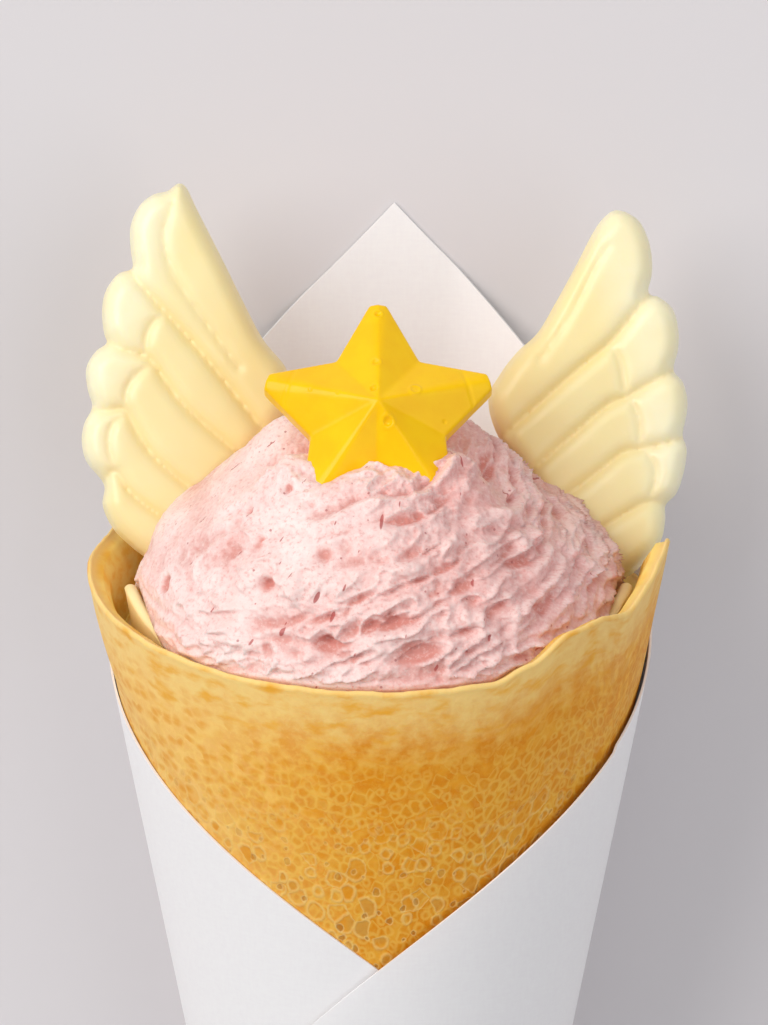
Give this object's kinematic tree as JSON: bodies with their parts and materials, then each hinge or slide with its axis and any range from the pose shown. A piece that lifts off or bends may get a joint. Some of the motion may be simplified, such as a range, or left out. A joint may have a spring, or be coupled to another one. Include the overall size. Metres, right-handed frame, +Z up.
{
  "type": "filled crepe in a paper sleeve",
  "caption": "Rolled dessert crepe in a white paper sleeve, lying down, filled with strawberry cream and topped with a yellow chocolate star between pale chocolate wings.",
  "frame": {"origin": "centre of the bounding box's bottom, on the ground under the lying sleeve", "axes": "+Y along the sleeve towards the open end with the cream, +Z up, the shown front facing up, +X towards the wing on the right of the picture"},
  "size_m": [0.0814, 0.2488, 0.0721],
  "materials": {
    "paper": "matte",
    "pancake": "baked, dry",
    "strawberry_cream": "soft, moist",
    "yellow_chocolate": "satin",
    "pale_chocolate": "satin"
  },
  "bodies": {
    "root": {"paper_sleeve": "paper", "crepe": "pancake", "cream": "strawberry_cream", "star": "yellow_chocolate", "wing_left": "pale_chocolate", "wing_right": "pale_chocolate"}
  },
  "joints": []
}
